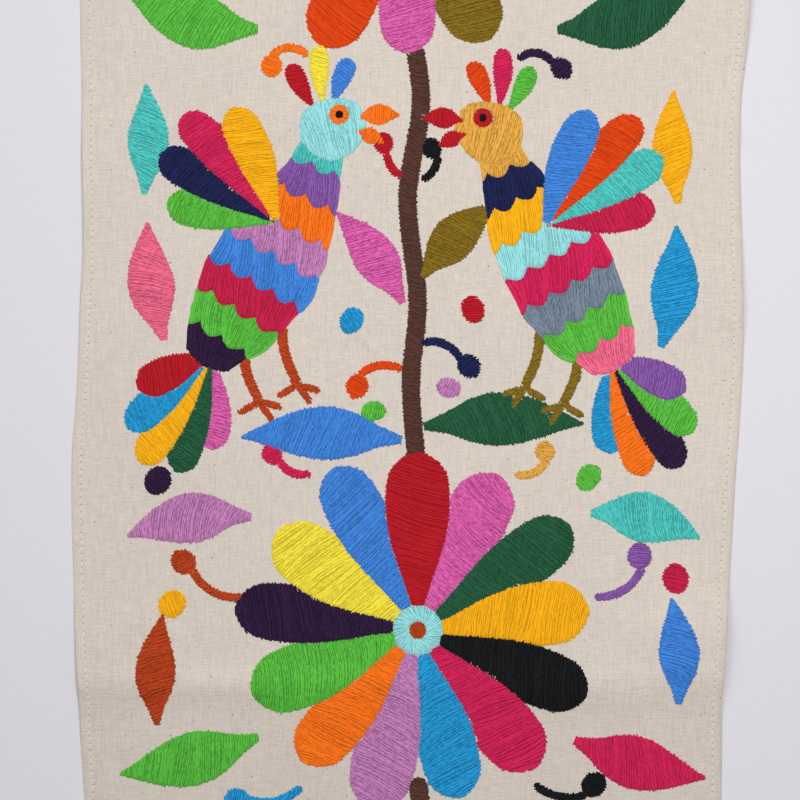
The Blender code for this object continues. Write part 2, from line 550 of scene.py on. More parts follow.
TENDRILS = [
    # x    y     heading length turn bud yarn
    (-5, 134, 160, 20, -80, 13, "red"),
    (6, 132, 18, 20, 80, 13, "black"),
    (-5, 18, 150, 30, 80, 15, "vermilion"),
    (6, 34, 20, 30, -90, 15, "navy"),
    (-100, -118, 190, 40, -80, 16, "rust"),
    (-66, -232, 226, 36, -70, 16, "azure"),
    (110, -118, -6, 38, 80, 16, "purple"),
    (74, -230, -44, 36, 70, 16, "black"),
    (-62, 206, 128, 26, 110, 14, "orange"),
    (64, 204, 46, 26, -110, 14, "plum"),
    (-60, -44, 200, 24, -90, 13, "magenta"),
    (62, -44, -20, 24, 90, 13, "sand"),
    (-104, 286, 196, 42, -80, 16, "crimson"),
    (104, 296, -12, 42, 80, 16, "azure"),
    (-80, 400, 140, 38, 70, 16, "black"),
    (80, 402, 40, 38, -70, 16, "red"),
    (-104, -252, 150, 32, 80, 14, "pink"),
    (100, -256, 30, 32, -80, 14, "green"),
]
BUDS = [
    # x    y     heading length half width yarn
    (-40, 40, 60, 17, 7, "azure"),
    (40, 46, 110, 17, 7, "red"),
    (-156, -56, 60, 18, 8, "plum"),
    (102, -54, 60, 17, 7, "green"),
    (-150, -128, 40, 18, 8, "amber"),
    (160, -116, 100, 18, 8, "crimson"),
    (-30, -8, 10, 15, 6, "green"),
    (30, 6, 170, 15, 6, "orchid"),
]
STEM_TOP = [(-2, 478), (2, 440), (-4, 400)]
STEM = [(2, 214), (6, 176), (-2, 120), (4, 60), (0, 10), (4, -44)]
STEM_LOW = [(4, -226), (8, -280), (-2, -340), (4, -404), (0, -474)]


def design():
    """Every patch of the embroidery."""
    patches = flower(
        4.0, -138.0, 107.0, 90.0, 18.5,
        ["red", "blue", "yellow", "plum", "green", "orange", "orchid", "azure", "magenta", "black",
         "amber", "dark_green", "pink"],
        "aqua", "rust",
    )
    patches += flower(
        -4.0, 308.0, 104.0, 77.0, 18.0,
        ["amber", "purple", "azure", "crimson", "green", "navy", "vermilion", "pink", "olive", "yellow",
         "blue", "red", "turquoise"],
        "yellow", "plum",
    )
    patches += bird(
        1, (0.0, 0.0),
        ["turquoise", "purple", "orange", "orchid", "blue", "crimson", "green", "plum"],
        ["amber", "magenta", "navy", "green"],
        ["red", "azure", "amber", "dark_green", "pink"],
        ["red", "yellow", "blue"], "aqua", "orange", "rust",
    )
    patches += bird(
        -1, (0.0, -2.0),
        ["sand", "navy", "amber", "aqua", "magenta", "steel", "green", "rose"],
        ["blue", "vermilion", "turquoise", "crimson"],
        ["purple", "green", "plum", "orange", "azure"],
        ["green", "magenta", "vermilion"], "sand", "red", "olive",
    )
    patches += deer(
        1, (0.0, 0.0),
        ["amber", "blue", "red", "green", "orchid", "navy", "orange"],
        "rose", "magenta", "brown", ["azure", "purple"], ["green", "sand"], "brown",
    )
    patches += deer(
        -1, (0.0, 0.0),
        ["turquoise", "plum", "yellow", "crimson", "steel", "green", "pink"],
        "periwinkle", "purple", "brown", ["orange", "red"], ["blue", "olive"], "black",
    )
    for index, row in enumerate(LEAVES):
        patches += leaf(*row, lean=0.38 * (-1) ** index)
    for row in TENDRILS:
        patches += tendril(*row)
    for row in BUDS:
        patches += bud(*row)
    patches += rope(STEM, 5.6, "brown", 0.35)
    patches += rope(STEM_LOW, 5.8, "brown", 0.35)
    patches += rope(STEM_TOP, 4.6, "brown", 0.35)
    return patches


def inside(points, polygon):
    """Which of the points lie inside a polygon."""
    x, y = points[:, 0][:, None], points[:, 1][:, None]
    x0, y0 = polygon[:, 0][None], polygon[:, 1][None]
    x1, y1 = np.roll(polygon[:, 0], -1)[None], np.roll(polygon[:, 1], -1)[None]
    crosses = (y0 > y) != (y1 > y)
    rise = np.where(np.abs(y1 - y0) < 1e-9, 1e-9, y1 - y0)
    return (np.sum(crosses & (x < x0 + (x1 - x0) * (y - y0) / rise), axis=1) % 2).astype(bool)


def seen_runs(hidden):
    """The first and last place of each run of places that is not hidden."""
    edges = np.flatnonzero(np.diff(np.concatenate([[True], hidden, [True]]).astype(int)))
    return [(first, last - 1) for first, last in zip(edges[0::2], edges[1::2])]


def trimmed(patches):
    """Cuts each patch's stitches a little inside the earlier patches that cover them.

    A stitch that comes out again on the far side goes on there as one of its own. What is left too short
    is dropped.
    """
    samples = 41
    shares = np.linspace(0.0, 1.0, samples)
    for index, patch in enumerate(patches):
        low, high = patch.outline.min(axis=0), patch.outline.max(axis=0)
        run = patch.ends - patch.starts
        points = (patch.starts[:, None] + run[:, None] * shares[None, :, None]).reshape(-1, 2)
        patch.covers = [
            over.outline for over in patches[:index]
            if np.all(over.outline.min(axis=0) < high) and np.all(over.outline.max(axis=0) > low)
        ]
        hidden = patch.covered(points).reshape(-1, samples)
        kept = []
        for start, way, row in zip(patch.starts, run, hidden):
            length = np.hypot(*way)
            for first, last in seen_runs(row):
                if (shares[last] - shares[first]) * length > SHORTEST_STITCH:
                    begun = shares[first] - (TUCK / length if first > 0 else 0.0)
                    done = shares[last] + (TUCK / length if last < samples - 1 else 0.0)
                    kept.append((start + way * begun, start + way * done))
        kept = np.array(kept).reshape(-1, 2, 2)
        patch.starts, patch.ends = kept[:, 0], kept[:, 1]
    return patches


# The cloth


# The hem's section, in millimetres: how far in from the edge, then the heights of its top and underside
HEM_SECTION = [
    # inset top  under
    (0.0, 0.22, 0.22),
    (0.08, 0.42, 0.08),
    (0.5, 0.78, 0.03),
    (1.2, 1.10, 0.00),
    (2.2, 1.36, 0.00),
    (3.4, 1.54, 0.00),
    (4.7, 1.60, 0.00),
    (5.3, 1.52, 0.04),
    (5.7, 1.44, 0.10),
    (6.1, 1.52, 0.04),
    (7.0, 1.64, 0.00),
    (7.9, 1.60, 0.00),
    (8.15, 1.54, 0.80),
    (10.0, 1.40, 0.70),
    (14.0, 1.20, 0.52),
    (20.0, 1.10, 0.45),
    (26.0, 1.08, 0.43),
]
HEM_LINE = 5.7
CLOTH_CELL = 4.6

# The storage crease's own soft ridge, which adds to the node's fold: its height at distances above it
CREASE_LEFT, CREASE_RIGHT = (-205.0, -171.0), (205.0, -166.0)
CREASE_RIDGE = [
    # above height
    (-75.0, 0.0),
    (-12.0, 0.45),
    (-2.0, 1.35),
    (2.0, 1.35),
    (12.0, 0.25),
    (26.0, 0.0),
]


def crossings(points, edges, level, along):
    """The least and greatest place at which a mesh's edges cross a line, seen from above."""
    a, b = points[edges[:, 0]], points[edges[:, 1]]
    across_axis = 1 - along
    meets = (a[:, across_axis] - level) * (b[:, across_axis] - level) <= 0.0
    a, b = a[meets], b[meets]
    rise = b[:, across_axis] - a[:, across_axis]
    share = np.where(np.abs(rise) < 1e-9, 0.5, (level - a[:, across_axis]) / np.where(rise == 0, 1, rise))
    places = a[:, along] + (b[:, along] - a[:, along]) * share
    return places.min(), places.max()


def blurred(values, passes):
    """The values of a table, smoothed over their neighbours."""
    for _ in range(passes):
        values = np.pad(values, [(1, 1)] * values.ndim, mode="edge")
        if values.ndim == 2:
            values = (values[:-2] + 2.0 * values[1:-1] + values[2:]) / 4.0
            values = (values[:, :-2] + 2.0 * values[:, 1:-1] + values[:, 2:]) / 4.0
        else:
            values = (values[:-2] + 2.0 * values[1:-1] + values[2:]) / 4.0
    return values


class Cloth:
    """Where the cloth lies, in millimetres: its edges in plan and how far its folds lift it."""

    def __init__(self, node):
        mesh = node.data
        points = np.array([node.matrix_world @ vertex.co for vertex in mesh.vertices]) / MM
        edges = np.array([edge.vertices[:] for edge in mesh.edges])
        low, high = points.min(axis=0), points.max(axis=0)
        self.low, self.high = low, high
        self.rows = np.linspace(low[1] + 4.0, high[1] - 4.0, 160)
        sides = np.array([crossings(points, edges, row, 0) for row in self.rows])
        self.left, self.right = blurred(sides[:, 0], 4), blurred(sides[:, 1], 4)
        self.columns = np.linspace(low[0] + 16.0, high[0] - 22.0, 60)
        ends = np.array([crossings(points, edges, column, 1) for column in self.columns])
        self.foot, self.head = blurred(ends[:, 0], 4), blurred(ends[:, 1], 4)
        self.read_lift(points, mesh)
        rng = np.random.default_rng(7)
        self.waves = [
            (rng.uniform(0, 360), rng.uniform(34, 95), rng.uniform(0, 6.3), rng.uniform(0.03, 0.09))
            for _ in range(14)
        ]

    def read_lift(self, points, mesh):
        """Reads how high the node's underside is, on a grid of points."""
        mesh.calc_loop_triangles()
        triangles = [tuple(triangle.vertices) for triangle in mesh.loop_triangles]
        tree = BVHTree.FromPolygons([Vector(point) for point in points], triangles)
        self.grid_x = np.arange(self.low[0], self.high[0] + 4.0, 4.0)
        self.grid_y = np.arange(self.low[1], self.high[1] + 4.0, 4.0)
        lift = np.full((len(self.grid_y), len(self.grid_x)), np.nan)
        for row, y in enumerate(self.grid_y):
            for column, x in enumerate(self.grid_x):
                hit = tree.ray_cast(Vector((x, y, -50.0)), Vector((0.0, 0.0, 1.0)))[0]
                if hit is not None:
                    lift[row, column] = hit.z
        for row in lift:
            known = np.flatnonzero(~np.isnan(row))
            if len(known):
                row[:] = np.interp(np.arange(len(row)), known, row[known])
        full = np.flatnonzero(~np.isnan(lift[:, 0]))
        for row in np.flatnonzero(np.isnan(lift[:, 0])):
            lift[row] = lift[full[np.argmin(np.abs(full - row))]]
        self.lift_table = blurred(lift, 2)

    def edge_places(self, x, y):
        """The left and right edge beside each point, and the low and high end under and over it."""
        return (
            np.interp(y, self.rows, self.left),
            np.interp(y, self.rows, self.right),
            np.interp(x, self.columns, self.foot),
            np.interp(x, self.columns, self.head),
        )

    def inset(self, x, y):
        """How far in from the nearest edge each point is."""
        left, right, foot, head = self.edge_places(x, y)
        return np.maximum(0.0, np.minimum.reduce([x - left, right - x, y - foot, head - y]))

    def lift(self, x, y):
        """How far folds and small waves lift the cloth at each point."""
        column = np.clip((x - self.grid_x[0]) / 4.0, 0.0, len(self.grid_x) - 1.001)
        row = np.clip((y - self.grid_y[0]) / 4.0, 0.0, len(self.grid_y) - 1.001)
        c, r = column.astype(int), row.astype(int)
        fc, fr = column - c, row - r
        table = self.lift_table
        lift = (table[r, c] * (1 - fc) + table[r, c + 1] * fc) * (1 - fr)
        lift += (table[r + 1, c] * (1 - fc) + table[r + 1, c + 1] * fc) * fr
        waves = np.zeros_like(lift)
        for heading, length, phase, size in self.waves:
            way = heading_vector(heading)
            waves += size * np.sin(2.0 * math.pi * (x * way[0] + y * way[1]) / length + phase)
        calm = np.clip((self.inset(x, y) - 8.0) / 20.0, 0.0, 1.0)
        along = (x - CREASE_LEFT[0]) / (CREASE_RIGHT[0] - CREASE_LEFT[0])
        above = y - CREASE_LEFT[1] - along * (CREASE_RIGHT[1] - CREASE_LEFT[1])
        ridge = np.interp(above, *np.array(CREASE_RIDGE).T)
        return lift + calm * (0.30 + waves) + ridge

    def top(self, x, y):
        """The height of the cloth's top at each point."""
        insets, tops, _ = np.array(HEM_SECTION).T
        return self.lift(x, y) + np.interp(self.inset(x, y), insets, tops)

    def under(self, x, y):
        """The height of the cloth's underside at each point."""
        insets, _, unders = np.array(HEM_SECTION).T
        return self.lift(x, y) + np.interp(self.inset(x, y), insets, unders)


def cell_lines(length):
    """Distances across a side of the cloth: the hem's lines at both ends and even cells between."""
    insets = np.array([row[0] for row in HEM_SECTION])
    inner = length - 2.0 * insets[-1]
    count = round(inner / CLOTH_CELL)
    middle = insets[-1] + inner * np.arange(1, count) / count
    return np.concatenate([insets, middle, length - insets[::-1]])


def cloth_object(cloth):
    """The cloth with its folded hem, as one closed mesh."""
    width = np.mean(cloth.right - cloth.left)
    length = np.mean(cloth.head - cloth.foot)
    columns, rows = cell_lines(width), cell_lines(length)
    u, v = np.meshgrid(columns / width, rows / length)
    y = np.interp(v, [0.0, 1.0], [cloth.foot.mean(), cloth.head.mean()])
    left, right = np.interp(y, cloth.rows, cloth.left), np.interp(y, cloth.rows, cloth.right)
    x = left + columns[None, :] * (right - left) / width
    foot, head = np.interp(x, cloth.columns, cloth.foot), np.interp(x, cloth.columns, cloth.head)
    y = foot + rows[:, None] * (head - foot) / length
    insets, tops, unders = np.array(HEM_SECTION).T
    inset = np.minimum(
        np.minimum(columns, width - columns)[None, :], np.minimum(rows, length - rows)[:, None]
    )
    lift = cloth.lift(x, y)
    upper = np.dstack([x, y, lift + np.interp(inset, insets, tops)]).reshape(-1, 3)
    lower = np.dstack([x, y, lift + np.interp(inset, insets, unders)]).reshape(-1, 3)
    wide, deep = len(columns), len(rows)
    index = np.arange(wide * deep).reshape(deep, wide)
    top_faces = np.stack([index[:-1, :-1], index[:-1, 1:], index[1:, 1:], index[1:, :-1]], -1).reshape(-1, 4)
    under_faces = top_faces[:, ::-1] + wide * deep
    rim = np.concatenate([index[0, :-1], index[:-1, -1], index[-1, :0:-1], index[:0:-1, 0]])
    # The rim's two layers meet in one line, so its lower points are those of the upper layer
    shared = np.arange(2 * wide * deep)
    shared[rim + wide * deep] = rim
    faces = shared[np.vstack([top_faces, under_faces])]
    used, faces = np.unique(faces, return_inverse=True)
    points = np.vstack([upper, lower])[used]
    return new_object("cloth_panel", points, faces.reshape(-1, 4).tolist())


# Threads over the cloth


def new_object(name, points, faces):
    """A smooth-shaded mesh object from points in millimetres and faces."""
    mesh = bpy.data.meshes.new(name)
    mesh.from_pydata((np.asarray(points) * MM).tolist(), [], faces)
    mesh.update()
    mesh.shade_smooth()
    made = bpy.data.objects.new(name, mesh)
    bpy.context.scene.collection.objects.link(made)
    return made


# A thread's section, open below: sideways as a share of its half width and upwards of its height
ROUND_SECTION = [(-1.0, -0.05), (-0.60, 0.84), (0.0, 1.0), (0.60, 0.84), (1.0, -0.05)]
PLAIN_SECTION = [(-1.0, -0.05), (0.0, 1.0), (1.0, -0.05)]
# Painted shade of the underlay, which shows deep between the stitches, as a share of its yarn's colour
UNDERLAY_PAINTED_SHADE = 0.62
TONES = (0.95, 1.04)

# How a thread comes out of the cloth at both its ends: the distance from the end, the greatest share of
# the length that this may be, how far it has risen there and how thick it is
YARN_END = [
    # distance share rise girth
    (0.0, 0.00, 0.00, 0.50),
    (0.7, 0.14, 0.70, 0.88),
    (2.2, 0.32, 1.00, 1.00),
]
MACHINE_END = [
    (0.0, 0.00, 0.00, 0.55),
    (0.8, 0.25, 1.00, 1.00),
]
BACK_END = [
    (0.0, 0.00, 0.00, 0.60),
    (9.0, 0.49, 1.00, 1.00),
]


def clearance(x, y, ground, facing):
    """How much each of a thread's stations has to be raised to clear the cloth between them."""
    needed = np.zeros_like(x)
    levels = ground(x, y)
    for share in (0.25, 0.5, 0.75):
        between_x = x[:, :-1] * (1.0 - share) + x[:, 1:] * share
        between_y = y[:, :-1] * (1.0 - share) + y[:, 1:] * share
        straight = levels[:, :-1] * (1.0 - share) + levels[:, 1:] * share
        short = np.clip(facing * (ground(between_x, between_y) - straight), 0.0, None)
        needed[:, :-1] = np.maximum(needed[:, :-1], short)
        needed[:, 1:] = np.maximum(needed[:, 1:], short)
    return needed


class Thread:
    """A kind of thread: its width and height, how far its ends sink, and the forms of ends and section.

    The layer is how much higher it lies in its first half than in its second, so that two families that
    run opposite ways pass over and under each other.
    """

    def __init__(self, width, height, layer, sink, end, section, facing=1.0):
        self.width = width
        self.height = height
        self.layer = layer
        self.sink = sink
        self.end = end
        self.section = section
        self.facing = facing

    def laid(self, starts, ends, ground, rng):
        """Threads that rise out of the cloth, lie along it and dive back in, as a list of parts."""
        run = ends - starts
        back = np.sum(run[1:] * run[:-1], axis=1) < 0.0
        direction = np.cumprod(np.append(1.0, np.where(back, -1.0, 1.0)))
        bow = direction * (rng.normal(0.0, PATCH_BOW) + blurred(rng.normal(0.0, 0.080, len(starts)), 10))
        bow += rng.normal(0.0, 0.008, len(starts))
        room = np.hypot(*run.T) - 2.0 * self.end[-1][0]
        spans = np.clip(np.round(room / WANDER_STEP), 1, MOST_SPANS).astype(int)
        return [
            self.group(starts[spans == count], ends[spans == count], bow[spans == count], count, ground, rng)
            for count in np.unique(spans)
        ]

    def group(self, starts, ends, bow, spans, ground, rng):
        """Threads with one number of spans between their ends' forms.

        Their points, faces and tones, and how each point lies in its yarn: how far along in millimetres,
        an offset of the thread's own, and how far sideways as a share of the half width.
        """
        count = len(starts)
        run = ends - starts
        length = np.hypot(run[:, 0], run[:, 1])[:, None]
        distance, share, rise, girth = np.array(self.end).T
        outer = np.minimum(distance / length, share)
        level = np.linspace(1.0, 0.0, spans + 1)
        inner = outer[:, -1:] * level + (1.0 - outer[:, -1:]) * (1.0 - level)
        shares = np.hstack([outer[:, :-1], inner, 1.0 - outer[:, -2::-1]])
        rise = np.concatenate([rise[:-1], np.ones(spans + 1), rise[-2::-1]])
        girth = np.concatenate([girth[:-1], np.ones(spans + 1), girth[-2::-1]])
        level = np.concatenate([np.ones(len(distance) - 1), level, np.zeros(len(distance) - 1)])
        stations, corners = len(rise), len(self.section)
        side = np.column_stack([-run[:, 1], run[:, 0]]) / length
        aside = bow[:, None] * length * 4 * shares * (1 - shares)
        aside += rng.normal(0.0, WANDER, (count, stations)) * np.where(rise == 1.0, 1.0, 0.2)
        thick = rng.normal(1.0, 0.06, (count, 1)) * rng.normal(1.0, 0.05, (count, stations))
        x = starts[:, :1] + run[:, :1] * shares + side[:, :1] * aside
        y = starts[:, 1:] + run[:, 1:] * shares + side[:, 1:] * aside
        base = ground(x, y) + self.facing * (self.layer * level - self.sink * (1.0 - rise))
        base += self.facing * clearance(x, y, ground, self.facing)
        points = np.empty((count, stations, corners, 3))
        lie = np.empty((count, stations, corners, 3))
        lie[..., 0] = (length * shares)[:, :, None]
        lie[..., 1] = rng.uniform(0.0, 400.0, (count, 1, 1))
        lie[..., 2] = np.array(self.section)[None, None, :, 0]
        for corner, (sideways, upwards) in enumerate(self.section):
            reach = 0.5 * self.width * girth * thick * sideways * self.facing
            points[:, :, corner, 0] = x + side[:, :1] * reach
            points[:, :, corner, 1] = y + side[:, 1:] * reach
            level_z = base + self.facing * upwards * self.height * (0.35 + 0.65 * rise) * thick
            points[:, :, corner, 2] = np.maximum(level_z, LOWEST)
        # Painted shade: each thread drawn darker towards its ends, where it dives into the cloth, times its
        # own random tone
        tones = rng.uniform(*TONES, (count, 1, 1)) * (0.72 + 0.28 * rise)[None, :, None]
        tones = np.broadcast_to(tones, (count, stations, corners))
        index = np.arange(count * stations * corners).reshape(count, stations, corners)
        faces = np.stack([index[:, :-1, :-1], index[:, 1:, :-1], index[:, 1:, 1:], index[:, :-1, 1:]], -1)
        return points.reshape(-1, 3), faces.reshape(-1, 4).tolist(), tones.reshape(-1), lie.reshape(-1, 3)


YARN = Thread(YARN_WIDTH, YARN_HEIGHT, YARN_LAYER, YARN_SINK, YARN_END, ROUND_SECTION)
YARN_BEHIND = Thread(1.2, 0.34, 0.0, 0.1, BACK_END, PLAIN_SECTION, -1.0)
SEWING = Thread(0.85, 0.42, 0.0, 0.22, MACHINE_END, PLAIN_SECTION)
SEWING_BEHIND = Thread(0.55, 0.10, 0.0, 0.10, MACHINE_END, PLAIN_SECTION, -1.0)


def thread_object(name, parts):
    """One object from several sets of points, faces, tones and places in the yarn."""
    faces, first = [], 0
    for points, part_faces, _, _ in parts:
        faces += [[corner + first for corner in face] for face in part_faces]
        first += len(points)
    made = new_object(name, np.vstack([part[0] for part in parts]), faces)
    # The tone attribute carries each thread's own tone together with its painted shade
    tone = made.data.attributes.new("tone", "FLOAT", "POINT")
    tone.data.foreach_set("value", np.concatenate([part[2] for part in parts]))
    lie = made.data.attributes.new("lie", "FLOAT_VECTOR", "POINT")
    lie.data.foreach_set("vector", np.vstack([part[3] for part in parts]).reshape(-1))
    return made


def underlay(patch, cloth):
    """A patch's deep yarn, which shows only between its stitches, in the form that threads have, drawn darker
    as painted shade.
    """
    rows, columns = patch.underlay.shape[:2]
    x, y = patch.underlay[..., 0], patch.underlay[..., 1]
    points = np.dstack([x, y, cloth.top(x, y) + UNDERLAY_HEIGHT]).reshape(-1, 3)
    index = np.arange(rows * columns).reshape(rows, columns)
    faces = np.stack([index[:-1, :-1], index[:-1, 1:], index[1:, 1:], index[1:, :-1]], -1)
    faces = faces.reshape(-1, 4)
    a, b, c = (points[faces[:, corner]] for corner in (0, 1, 2))
    upward = np.sum(np.cross(b - a, c - a)[:, 2]) > 0
    faces = faces if upward else faces[:, ::-1]
    middles = points[faces][:, :, :2].mean(axis=1)
    faces = faces[~patch.covered(middles)]
    used, corners = np.unique(faces, return_inverse=True)
    lie = points[used] * (1.0, 1.0, 0.0)
    return points[used], corners.reshape(-1, 4).tolist(), np.full(len(used), UNDERLAY_PAINTED_SHADE), lie


def uneven(patch, rng):
    """The ends of a patch's stitches, each a little too long or short and a little aside."""
    run = patch.ends - patch.starts
    way = run / np.hypot(run[:, 0], run[:, 1])[:, None]
    side = np.column_stack([-way[:, 1], way[:, 0]])
    jitter = END_JITTER * np.clip(np.hypot(run[:, :1], run[:, 1:]) / EVEN_LENGTH, 0.4, 1.0)
    moved = []
    for points, outward in ((patch.starts, -END_OVERLAP), (patch.ends, END_OVERLAP)):
        along = outward + jitter * rng.normal(0.0, 1.0, (len(points), 1))
        beside = rng.normal(0.0, SIDE_JITTER, (len(points), 1))
        moved.append(points + way * along + side * beside)
    return moved


def back_stitches(patch, cloth, rng):
    """On the back, the short stitches that carry the yarn from one stitch to the next."""
    starts, ends = patch.ends[:-1], patch.starts[1:]
    run = np.hypot(*(ends - starts).T)
    good = (run > 0.6) & (run < 5.0)
    if not good.any():
        return []
    return YARN_BEHIND.laid(starts[good], ends[good], cloth.under, rng)


def embroider(cloth, patches):
    """The embroidery, one object for each yarn."""
    made = []
    for number, yarn in enumerate(YARNS):
        rng = np.random.default_rng(300 + number)
        parts = []
        for patch in patches:
            if patch.yarn == yarn and len(patch.starts) > 2:
                starts, ends = uneven(patch, rng)
                parts += YARN.laid(starts, ends, cloth.top, rng)
                parts.append(underlay(patch, cloth))
                parts += back_stitches(patch, cloth, rng)
        thread = thread_object("embroidery_" + yarn, parts)
        thread.data.materials.append(yarn_material(yarn))
        made.append(thread)
    return made


def hem_route(cloth, spacing):
    """Points a spacing apart along the hem's stitch line, all round the cloth, one row for each side."""
    low, high = cloth.foot.mean() + HEM_LINE, cloth.head.mean() - HEM_LINE
    along = np.arange(low, high, spacing)
    left = np.interp(along, cloth.rows, cloth.left) + HEM_LINE
    right = np.interp(along, cloth.rows, cloth.right) - HEM_LINE
    level = np.arange(left[0], right[0], spacing)
    foot = np.interp(level, cloth.columns, cloth.foot) + HEM_LINE
    head = np.interp(level, cloth.columns, cloth.head) - HEM_LINE
    return [
        np.column_stack([left, along]),
        np.column_stack([right, along]),
        np.column_stack([level, foot]),
        np.column_stack([level, head]),
    ]


def hem_stitching(cloth):
    """The hem's machine stitches on both faces, and dark discs of painted shade at the needle holes between
    them.
    """
    spacing, gap = 4.2, 0.45
    starts, ends, holes = [], [], []
    rng = np.random.default_rng(31)
    for route in hem_route(cloth, spacing):
        route = route + rng.normal(0.0, 0.12, route.shape)
        way = np.diff(route, axis=0)
        way /= np.hypot(way[:, 0], way[:, 1])[:, None]
        starts.append(route[:-1] + way * gap)
        ends.append(route[1:] - way * gap)
        holes.append(route)
    starts, ends, holes = np.vstack(starts), np.vstack(ends), np.vstack(holes)
    over = thread_object("hem_stitching_top", SEWING.laid(starts, ends, cloth.top, rng))
    below = thread_object("hem_stitching_under", SEWING_BEHIND.laid(starts, ends, cloth.under, rng))
    # Painted shade: small dark discs laid just over the cloth at each needle hole
    angles = np.linspace(0.0, 2.0 * math.pi, 7)[:-1]
    rim_x = holes[:, :1] + 0.42 * np.cos(angles)
    rim_y = holes[:, 1:] + 0.34 * np.sin(angles)
    rim = np.dstack([rim_x, rim_y, cloth.top(rim_x, rim_y) + 0.03]).reshape(-1, 3)
    hole_shade_discs = new_object("hem_needle_hole_shade", rim, np.arange(len(rim)).reshape(-1, 6).tolist())
    for thread in (over, below):
        thread.data.materials.append(hem_thread_material())
    hole_shade_discs.data.materials.append(needle_hole_shade_material())
    return [over, below, hole_shade_discs]


# Materials


# The bare cloth's colour, as sRGB values, and the heights at which a painted shade below the crease starts,
# is full, starts to fade and ends, in millimetres, and how much that painted shade darkens the cloth
COTTON = (220, 208, 196)
PAINTED_SHADE_BELOW_CREASE = (-164.0, -176.0, -270.0, -400.0)
PAINTED_SHADE_STRENGTH = 0.045


def linear(value):
    """The linear value of an sRGB value from 0 to 255."""
    share = value / 255.0
    return share / 12.92 if share <= 0.04045 else ((share + 0.055) / 1.055) ** 2.4


def colour(values):
    """A shader's colour from three sRGB values."""
    return (*[linear(value) for value in values], 1.0)


class Nodes:
    """A material's node tree, with short ways to add nodes and join them."""

    def __init__(self, name):
        self.material = bpy.data.materials.new(name)
        self.material.use_nodes = True
        self.tree = self.material.node_tree
        self.shader = self.tree.nodes["Principled BSDF"]

    def add(self, kind, inputs=None, **settings):
        """A new node, with its settings and its inputs' values or links."""
        node = self.tree.nodes.new(kind)
        for setting, value in settings.items():
            setattr(node, setting, value)
        for socket, value in (inputs or {}).items():
            self.put(node.inputs[socket], value)
        return node

    def put(self, socket, value):
        """Gives a socket a value, or links it to another node's socket."""
        if isinstance(value, bpy.types.NodeSocket):
            self.tree.links.new(value, socket)
        else:
            socket.default_value = value

    def maths(self, operation, first, second=0.0, third=0.0):
        """The result of an operation on values or sockets."""
        node = self.add("ShaderNodeMath", {0: first, 1: second, 2: third}, operation=operation)
        return node.outputs[0]

    def noise(self, scale, stretch=(1.0, 1.0, 1.0), detail=3.0, place=None):
        """Noise over the object or another vector, with its pattern scaled along each axis."""
        place = place or self.add("ShaderNodeTexCoord").outputs["Object"]
        place = self.add("ShaderNodeMapping", {"Vector": place, "Scale": stretch}).outputs[0]
        return self.add(
            "ShaderNodeTexNoise", {"Vector": place, "Scale": scale, "Detail": detail}
        ).outputs["Fac"]

    def spread(self, value, low, high, first=0.3, last=0.7):
        """A value brought from between first and last to between low and high."""
        node = self.add("ShaderNodeMapRange", {"Value": value, "From Min": first, "From Max": last,
                                               "To Min": low, "To Max": high})
        return node.outputs[0]

    def flecks(self, base, scale, size, rarity, strength, tint):
        """A colour with flecks over it: their scale, size, how few cells have one, strength and colour.

        No fleck is larger or stronger than said, and most are less.
        """
        place = self.add("ShaderNodeTexCoord").outputs["Object"]
        cells = self.add("ShaderNodeTexVoronoi", {"Vector": place, "Scale": scale},
                         voronoi_dimensions="2D").outputs
        chances = self.add("ShaderNodeSeparateColor", {"Color": cells["Color"]}).outputs
        near = self.maths("LESS_THAN", cells["Distance"], self.spread(chances[1], 0.5 * size, size, 0.0, 1.0))
        fleck = self.maths("MULTIPLY", near, self.maths("GREATER_THAN", chances[0], rarity))
        fleck = self.maths("MULTIPLY", fleck, self.spread(chances[2], 0.2, 1.0, 0.0, 1.0))
        mixed = self.add("ShaderNodeMix", data_type="RGBA")
        self.put(mixed.inputs["Factor"], self.maths("MULTIPLY", fleck, strength))
        self.put(mixed.inputs["A"], base)
        self.put(mixed.inputs["B"], colour(tint))
        return mixed.outputs["Result"]


# How strongly the painted shade in the gaps between stitches and the painted highlights and shade along them
# show, in the yarns where they show more or less than in others
PAINTED_SHADE_DEPTH = {"amber": 0.48, "yellow": 0.62, "orange": 0.62, "vermilion": 0.50, "red": 0.28, "crimson": 0.62,
             "magenta": 0.66, "aqua": 0.66, "blue": 0.85, "green": 0.95, "pink": 1.25, "orchid": 1.1}


